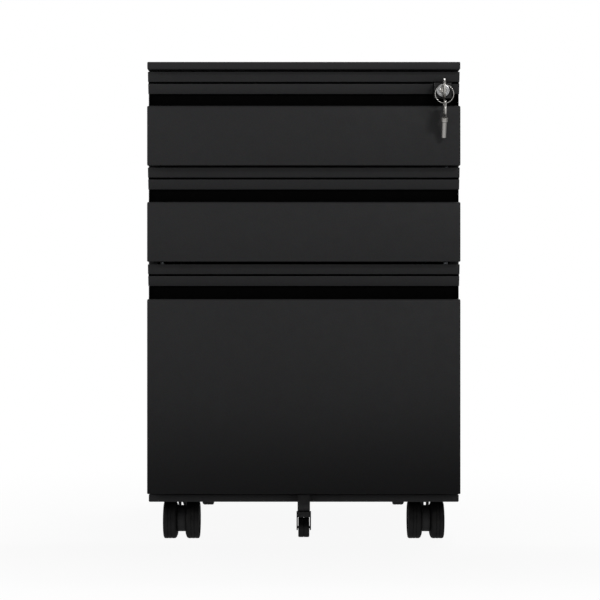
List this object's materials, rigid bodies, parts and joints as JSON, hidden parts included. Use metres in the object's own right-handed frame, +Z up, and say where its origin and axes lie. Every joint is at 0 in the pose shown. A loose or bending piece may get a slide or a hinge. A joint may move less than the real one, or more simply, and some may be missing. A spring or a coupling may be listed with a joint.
{
  "type": "mobile filing cabinet",
  "caption": "Steel mobile pedestal with two small drawers and a file drawer on telescopic slides, a gang lock with keys, and casters.",
  "frame": {"origin": "on the floor, at the middle of the bounding box of the cabinet and its hanging keys", "axes": "+Z up, -Y towards the user (the drawers open towards -Y), +X to the right as the user faces the drawers"},
  "size_m": [0.39, 0.4837, 0.6],
  "materials": {
    "carcass_paint": "fine satin black powder coat",
    "front_paint": "fine satin black powder coat",
    "tray_paint": "fine satin black powder coat",
    "trough_plastic": "matt black moulded plastic",
    "zinc_steel": "bright zinc-plated steel",
    "lock_plastic": "black moulded plastic",
    "lock_chrome": "chrome-plated die casting",
    "key_nickel": "nickel-plated",
    "ring_steel": "nickel-plated spring wire",
    "caster_nylon": "moulded dark grey nylon",
    "wheel_nylon": "moulded black nylon"
  },
  "bodies": {
    "carcass": {"top_cover": "carcass_paint", "base_pan": "carcass_paint", "left_side_panel": "carcass_paint", "right_side_panel": "carcass_paint", "back_panel": "carcass_paint", "left_front_post": "zinc_steel", "right_front_post": "zinc_steel", "left_rear_post": "zinc_steel", "right_rear_post": "zinc_steel", "drawer_1_left_outer_slide": "zinc_steel", "drawer_1_right_outer_slide": "zinc_steel", "drawer_2_left_outer_slide": "zinc_steel", "drawer_2_right_outer_slide": "zinc_steel", "drawer_3_left_outer_slide": "zinc_steel", "drawer_3_right_outer_slide": "zinc_steel"},
    "drawer_1": {"drawer_1_front": "front_paint", "drawer_1_pull_strip": "front_paint", "drawer_1_trough": "trough_plastic", "drawer_1_tray": "tray_paint", "drawer_1_left_inner_slide": "zinc_steel", "drawer_1_right_inner_slide": "zinc_steel", "lock_housing": "lock_plastic"},
    "drawer_2": {"drawer_2_front": "front_paint", "drawer_2_pull_strip": "front_paint", "drawer_2_trough": "trough_plastic", "drawer_2_tray": "tray_paint", "drawer_2_left_inner_slide": "zinc_steel", "drawer_2_right_inner_slide": "zinc_steel"},
    "drawer_3": {"drawer_3_front": "front_paint", "drawer_3_pull_strip": "front_paint", "drawer_3_trough": "trough_plastic", "drawer_3_tray": "tray_paint", "drawer_3_left_inner_slide": "zinc_steel", "drawer_3_right_inner_slide": "zinc_steel", "left_file_rail": "zinc_steel", "right_file_rail": "zinc_steel", "fifth_caster_bracket": "front_paint"},
    "drawer_3_middle_slides": {"drawer_3_left_middle_slide": "zinc_steel", "drawer_3_right_middle_slide": "zinc_steel"},
    "lock_plug": {"lock_plug": "lock_chrome", "lock_cam": "zinc_steel"},
    "key": {"key": "key_nickel"},
    "key_ring": {"key_ring": "ring_steel"},
    "spare_key": {"spare_key": "key_nickel"},
    "lock_bar": {"lock_bar": "zinc_steel"},
    "front_left_caster": {"front_left_caster_hood": "caster_nylon"},
    "front_left_caster_left_wheel": {"front_left_caster_left_wheel": "wheel_nylon"},
    "front_left_caster_right_wheel": {"front_left_caster_right_wheel": "wheel_nylon"},
    "front_right_caster": {"front_right_caster_hood": "caster_nylon"},
    "front_right_caster_left_wheel": {"front_right_caster_left_wheel": "wheel_nylon"},
    "front_right_caster_right_wheel": {"front_right_caster_right_wheel": "wheel_nylon"},
    "rear_left_caster": {"rear_left_caster_hood": "caster_nylon"},
    "rear_left_caster_left_wheel": {"rear_left_caster_left_wheel": "wheel_nylon"},
    "rear_left_caster_right_wheel": {"rear_left_caster_right_wheel": "wheel_nylon"},
    "rear_right_caster": {"rear_right_caster_hood": "caster_nylon"},
    "rear_right_caster_left_wheel": {"rear_right_caster_left_wheel": "wheel_nylon"},
    "rear_right_caster_right_wheel": {"rear_right_caster_right_wheel": "wheel_nylon"},
    "fifth_caster": {"fifth_caster_fork": "caster_nylon"},
    "fifth_caster_wheel": {"fifth_caster_wheel": "wheel_nylon"}
  },
  "joints": [
    {"name": "drawer_1_slide", "type": "slide", "parent": "carcass", "child": "drawer_1", "axis": [0, -1, 0], "range_m": [0, 0.29]},
    {"name": "drawer_2_slide", "type": "slide", "parent": "carcass", "child": "drawer_2", "axis": [0, -1, 0], "range_m": [0, 0.29]},
    {"name": "drawer_3_slide", "type": "slide", "parent": "carcass", "child": "drawer_3", "axis": [0, -1, 0], "range_m": [0, 0.384]},
    {"name": "middle_slides_slide", "type": "slide", "parent": "carcass", "child": "drawer_3_middle_slides", "axis": [0, -1, 0], "range_m": [0, 0.192]},
    {"name": "lock_turn", "type": "hinge", "parent": "drawer_1", "child": "lock_plug", "pos_m": [0.1735, -0.20481, 0.5646], "axis": [0, 1, 0], "range_deg": [0, 90]},
    {"name": "lock_bar_slide", "type": "slide", "parent": "carcass", "child": "lock_bar", "axis": [0, 0, 1], "range_m": [-0.00848, 0]},
    {"name": "key_pull", "type": "slide", "parent": "lock_plug", "child": "key", "axis": [0, -1, 0], "range_m": [0, 0.03]},
    {"name": "key_ring_swing", "type": "hinge", "parent": "key", "child": "key_ring", "pos_m": [0.1735, -0.22561, 0.56895], "axis": [1, 0, 0], "range_deg": [-25, 1]},
    {"name": "spare_key_swing", "type": "hinge", "parent": "key_ring", "child": "spare_key", "pos_m": [0.1735, -0.22561, 0.54615], "axis": [1, 0, 0], "range_deg": [-50, 3]},
    {"name": "front_left_caster_swivel", "type": "hinge", "parent": "carcass", "child": "front_left_caster", "pos_m": [-0.155, -0.14081, 0.03399], "axis": [0, 0, 1], "continuous": true},
    {"name": "front_left_caster_left_wheel_spin", "type": "hinge", "parent": "front_left_caster", "child": "front_left_caster_left_wheel", "pos_m": [-0.155, -0.15581, 0.02379], "axis": [1, 0, 0], "continuous": true},
    {"name": "front_left_caster_right_wheel_spin", "type": "hinge", "parent": "front_left_caster", "child": "front_left_caster_right_wheel", "pos_m": [-0.155, -0.15581, 0.02379], "axis": [1, 0, 0], "continuous": true},
    {"name": "front_right_caster_swivel", "type": "hinge", "parent": "carcass", "child": "front_right_caster", "pos_m": [0.155, -0.14081, 0.03399], "axis": [0, 0, 1], "continuous": true},
    {"name": "front_right_caster_left_wheel_spin", "type": "hinge", "parent": "front_right_caster", "child": "front_right_caster_left_wheel", "pos_m": [0.155, -0.15581, 0.02379], "axis": [1, 0, 0], "continuous": true},
    {"name": "front_right_caster_right_wheel_spin", "type": "hinge", "parent": "front_right_caster", "child": "front_right_caster_right_wheel", "pos_m": [0.155, -0.15581, 0.02379], "axis": [1, 0, 0], "continuous": true},
    {"name": "rear_left_caster_swivel", "type": "hinge", "parent": "carcass", "child": "rear_left_caster", "pos_m": [-0.155, 0.18219, 0.03399], "axis": [0, 0, 1], "continuous": true},
    {"name": "rear_left_caster_left_wheel_spin", "type": "hinge", "parent": "rear_left_caster", "child": "rear_left_caster_left_wheel", "pos_m": [-0.155, 0.19719, 0.02379], "axis": [1, 0, 0], "continuous": true},
    {"name": "rear_left_caster_right_wheel_spin", "type": "hinge", "parent": "rear_left_caster", "child": "rear_left_caster_right_wheel", "pos_m": [-0.155, 0.19719, 0.02379], "axis": [1, 0, 0], "continuous": true},
    {"name": "rear_right_caster_swivel", "type": "hinge", "parent": "carcass", "child": "rear_right_caster", "pos_m": [0.155, 0.18219, 0.03399], "axis": [0, 0, 1], "continuous": true},
    {"name": "rear_right_caster_left_wheel_spin", "type": "hinge", "parent": "rear_right_caster", "child": "rear_right_caster_left_wheel", "pos_m": [0.155, 0.19719, 0.02379], "axis": [1, 0, 0], "continuous": true},
    {"name": "rear_right_caster_right_wheel_spin", "type": "hinge", "parent": "rear_right_caster", "child": "rear_right_caster_right_wheel", "pos_m": [0.155, 0.19719, 0.02379], "axis": [1, 0, 0], "continuous": true},
    {"name": "fifth_caster_swivel", "type": "hinge", "parent": "drawer_3", "child": "fifth_caster", "pos_m": [0, -0.19781, 0.0399], "axis": [0, 0, 1], "continuous": true},
    {"name": "fifth_caster_wheel_spin", "type": "hinge", "parent": "fifth_caster", "child": "fifth_caster_wheel", "pos_m": [0, -0.20181, 0.0201], "axis": [1, 0, 0], "continuous": true}
  ],
  "couplings": [
    {"joint": "middle_slides_slide", "follows": "drawer_3_slide", "ratio": 0.5},
    {"joint": "lock_turn", "follows": "lock_bar_slide", "rad_per_m": -185.12}
  ]
}
